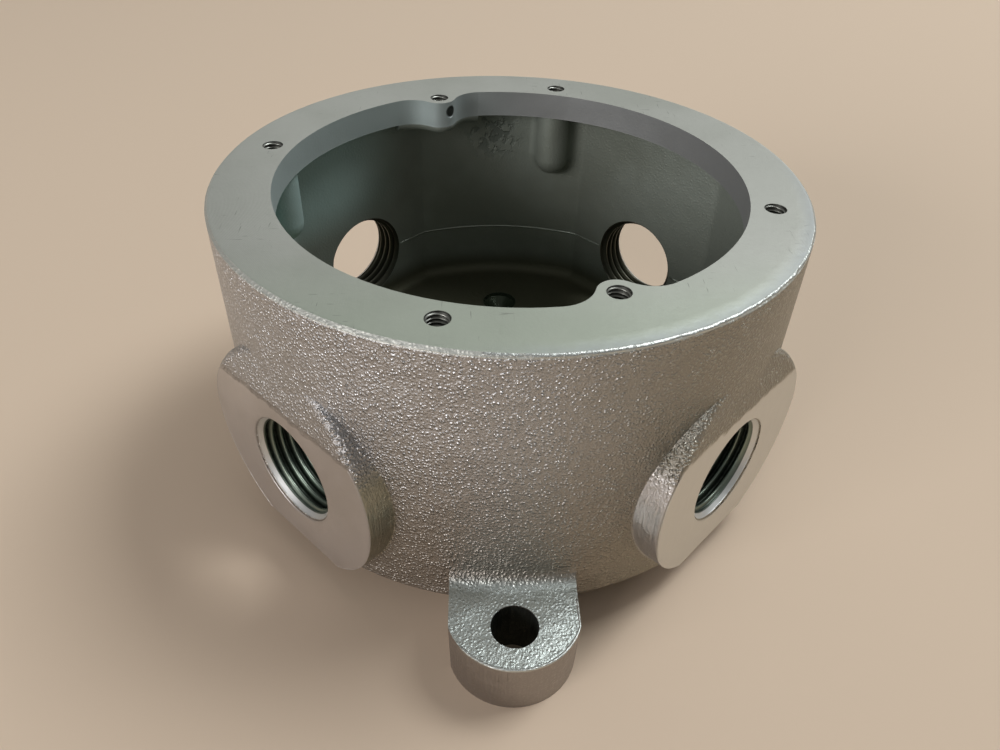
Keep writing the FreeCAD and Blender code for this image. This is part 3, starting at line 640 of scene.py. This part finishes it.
def add_lug_burr(material):
    """Burr along the right side of the front lug's upper edge and round its end."""
    first, straight_steps, round_steps = 59 * MM, 12, 50
    end_centre = LUG_REACH - LUG_END_R
    shoulder = end_centre + math.sqrt(LUG_END_R ** 2 - LUG_HALF ** 2)
    path = []
    for step in range(straight_steps + 1):
        out = first + (shoulder - first) * step / straight_steps
        path.append((Vector((LUG_HALF, -out, LUG_TOP)), Vector((1, 0, 0)), UP))
    spread = math.degrees(math.asin(LUG_HALF / LUG_END_R))
    path += arc_frames(LUG_END_R, LUG_TOP, -90 + spread, -1.75 * spread, round_steps,
                       Vector((0, -end_centre, 0)))[1:-1]
    wobble = wander(len(path), 0.10 * MM)
    sections = []
    for index in range(len(path)):
        share = index / (len(path) - 1)
        stand = (0.06 * MM + wobble[index]) * min(1.0, 6 * share, 4 * (1 - share))
        sections.append([(-0.45 * MM, -0.2 * MM), (-0.40 * MM, 0.01 * MM),
                         (-0.08 * MM, 0.06 * MM + stand * 0.5), (stand, -0.05 * MM),
                         (0.01 * MM, -0.4 * MM), (-0.3 * MM, -0.4 * MM)])
    sweep("lug_burr", path, sections, material)


# ---------------------------------------------------------------- stage, light and camera
def add_floor():
    mesh = bpy.data.meshes.new("floor")
    half = 3.0
    corners = [(-half, -half, 0), (half, -half, 0), (half, half, 0), (-half, half, 0)]
    mesh.from_pydata(corners, [], [(0, 1, 2, 3)])
    thing = bpy.data.objects.new("floor", mesh)
    bpy.context.scene.collection.objects.link(thing)
    mesh.materials.append(paper_material())


def area_light(name, place, size, energy, colour):
    """Rectangular lamp aimed at the middle of the object."""
    aim = Vector((0, 0, 0.03))
    data = bpy.data.lights.new(name, "AREA")
    data.shape = "RECTANGLE"
    data.size, data.size_y = size
    data.energy = energy
    data.color = colour
    lamp = bpy.data.objects.new(name, data)
    bpy.context.scene.collection.objects.link(lamp)
    lamp.location = place
    lamp.rotation_euler = (aim - Vector(place)).to_track_quat("-Z", "Y").to_euler()


def add_lights():
    area_light("key_light", (0.85, 0.40, 1.45), (0.7, 0.7), 15.0, (0.96, 0.99, 1.0))
    area_light("back_light", (0.35, 1.9, 1.35), (2.8, 1.5), 7.5, (0.97, 1.0, 0.98))
    area_light("front_light", (-1.0, -0.95, 0.50), (0.8, 0.45), 9.0, (1.0, 0.97, 0.97))
    world = bpy.data.worlds.new("studio")
    bpy.context.scene.world = world
    world.use_nodes = True
    background = world.node_tree.nodes["Background"]
    background.inputs["Color"].default_value = rgb(0.80, 0.79, 0.77)
    background.inputs["Strength"].default_value = 0.24


def add_camera():
    place = Vector((-0.00744, -0.13923, 0.12642))
    look = Vector((0.0368, 0.7742, -0.6318)).normalized()
    roll = math.radians(1.978)
    level_right = look.cross(UP).normalized()
    level_up = level_right.cross(look)
    right = level_right * math.cos(roll) + level_up * math.sin(roll)
    upward = level_up * math.cos(roll) - level_right * math.sin(roll)
    data = bpy.data.cameras.new("camera")
    data.sensor_width = 36.0
    data.lens = 28.56
    data.clip_start = 0.01
    camera = bpy.data.objects.new("camera", data)
    bpy.context.scene.collection.objects.link(camera)
    camera.matrix_world = Matrix.Translation(place) @ Matrix((right, upward, -look)).transposed().to_4x4()
    bpy.context.scene.camera = camera


# ---------------------------------------------------------------- dress the casting
skin = casting_material()
for slot in frame["nodes"]["housing"].material_slots:
    slot.material = skin
add_port_threads()
add_screw_threads()
# the seeded wobbles of these are drawn in this order
add_flash_lines()
burr = bead_material("rim_burr", rgb(0.72, 0.75, 0.72), 0.45)
add_rim_burr(burr)
add_lug_burr(burr)

add_floor()
add_lights()
add_camera()
bpy.context.scene.view_settings.view_transform = "Standard"
